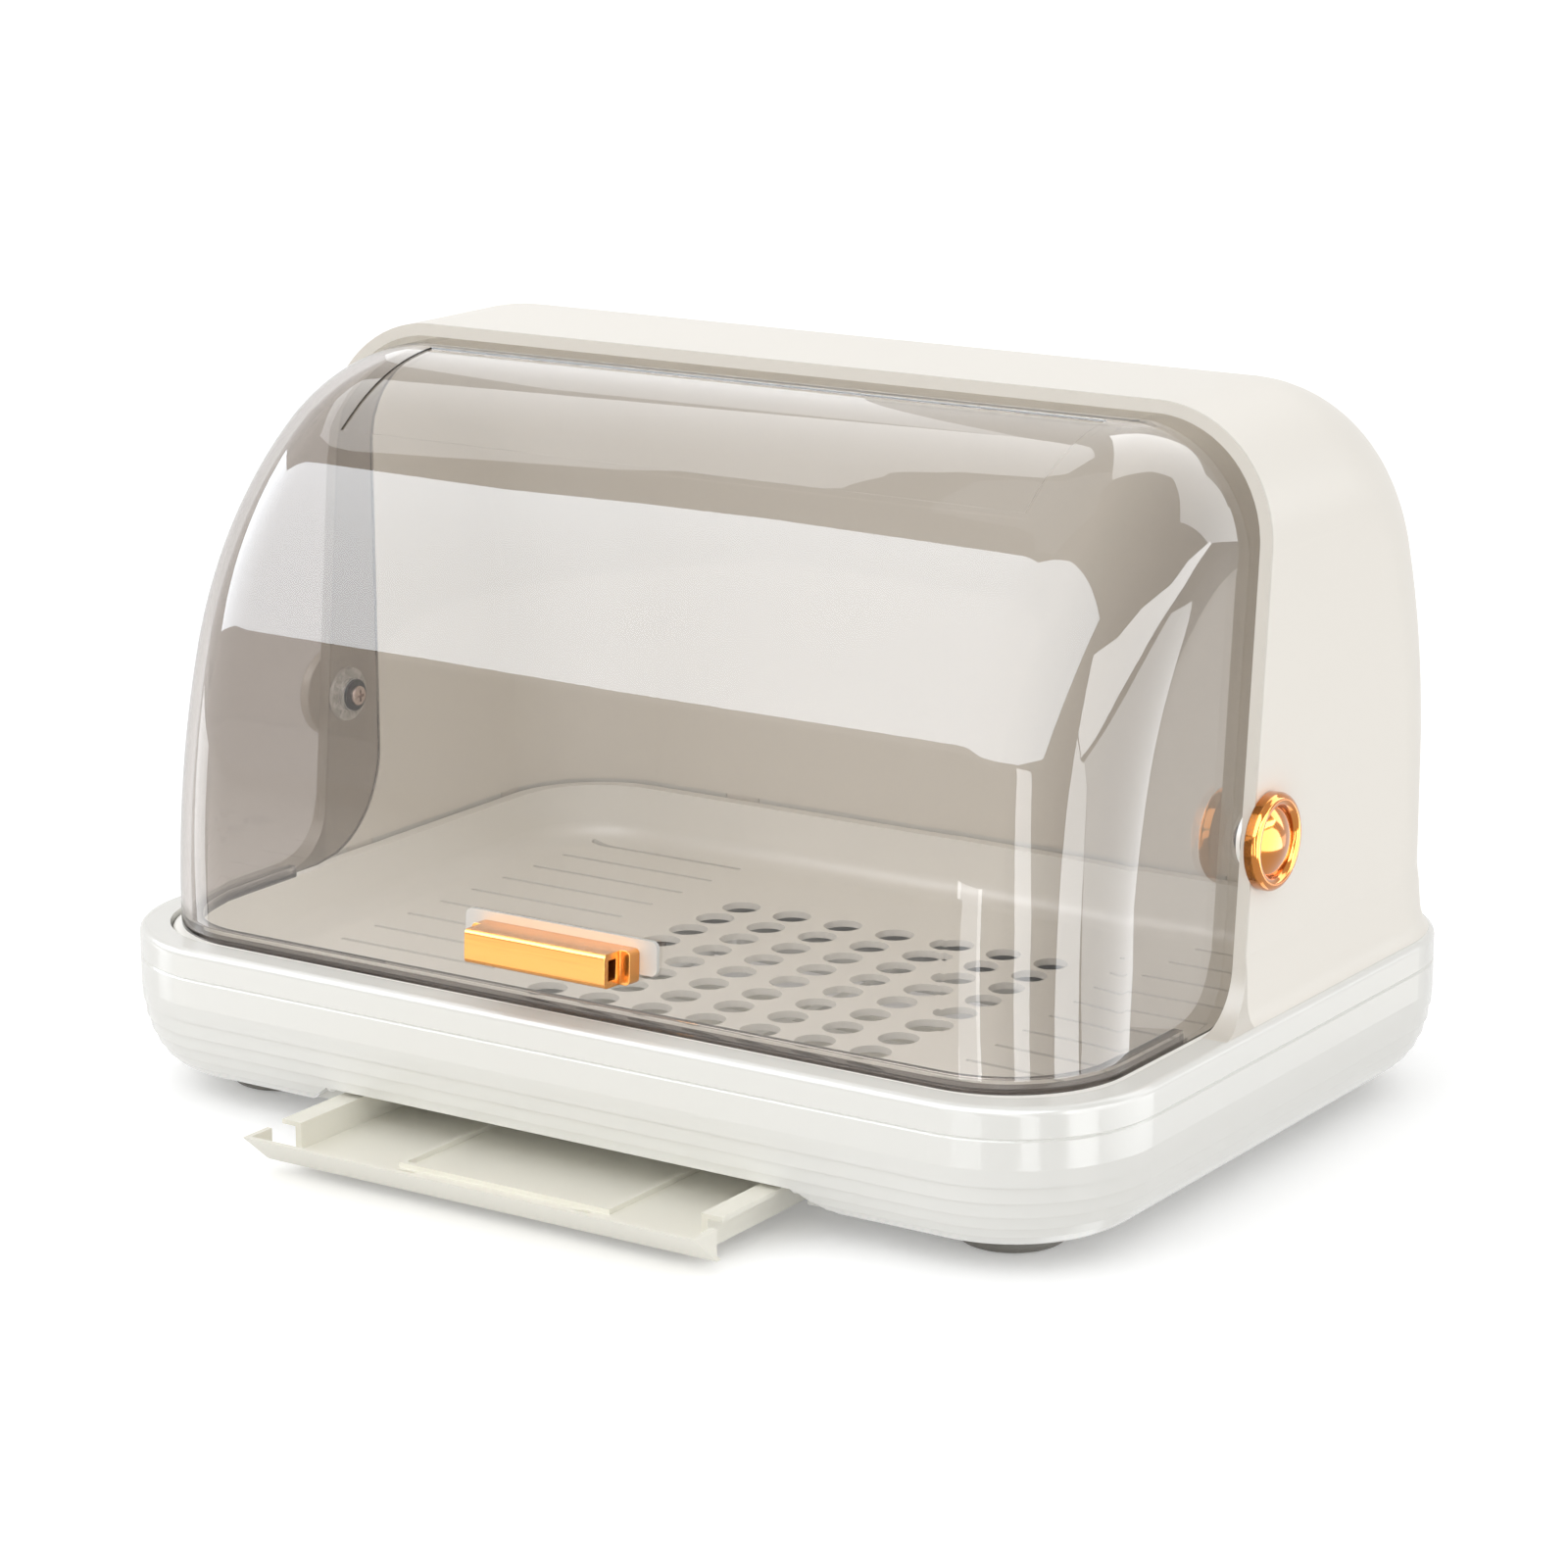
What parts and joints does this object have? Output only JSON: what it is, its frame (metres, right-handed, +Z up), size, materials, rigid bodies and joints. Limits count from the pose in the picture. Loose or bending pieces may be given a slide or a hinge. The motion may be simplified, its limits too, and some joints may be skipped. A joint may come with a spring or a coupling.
{
  "type": "bottle drying box",
  "caption": "Covered countertop drying box for baby bottles: base with rounded hood, smoky lid that swings up on side pivots, perforated drain tray and pull-out drip drawer.",
  "frame": {"origin": "middle of the resting outline at table level, with the drip drawer drawn out as at rest", "axes": "+X to the right along the width, -Y towards the front with lid and drawer, +Z up"},
  "size_m": [0.326, 0.2714, 0.21],
  "materials": {
    "base_cream": "gloss",
    "hood_cream": "soft gloss",
    "smoky_clear": "clear, smoke tinted",
    "gold": "gold plated, polished",
    "white": "gloss",
    "bush_white": "satin",
    "dark_washer": "satin",
    "screw_steel": "bright",
    "tray_cream": "satin",
    "drawer_cream": "satin",
    "runner_white": "satin",
    "foot_rubber": "matte"
  },
  "bodies": {
    "cabinet": {"base_tub": "base_cream", "base_rim": "base_cream", "hood": "hood_cream", "pivot_cap_left": "hood_cream", "pivot_cap_right": "gold", "pivot_washer_left": "dark_washer", "pivot_washer_right": "dark_washer", "pivot_screw_left": "screw_steel", "pivot_screw_right": "screw_steel", "runner_screws": "screw_steel", "drain_tray": "tray_cream", "drawer_runner_left": "runner_white", "drawer_runner_right": "runner_white", "foot_front_left": "foot_rubber", "foot_front_right": "foot_rubber", "foot_rear_left": "foot_rubber", "foot_rear_right": "foot_rubber"},
    "lid": {"lid": "smoky_clear", "handle_bar": "gold", "handle_plate": "white", "handle_screws": "screw_steel", "pivot_bush_left": "bush_white", "pivot_bush_right": "bush_white"},
    "drawer": {"drip_drawer": "drawer_cream"}
  },
  "joints": [
    {"name": "lid_hinge", "type": "hinge", "parent": "cabinet", "child": "lid", "pos_m": [0, 0.01075, 0.096], "axis": [-1, 0, 0], "range_deg": [0, 90]},
    {"name": "drawer_slide", "type": "slide", "parent": "cabinet", "child": "drawer", "axis": [0, -1, 0], "range_m": [-0.041, 0.06]}
  ]
}
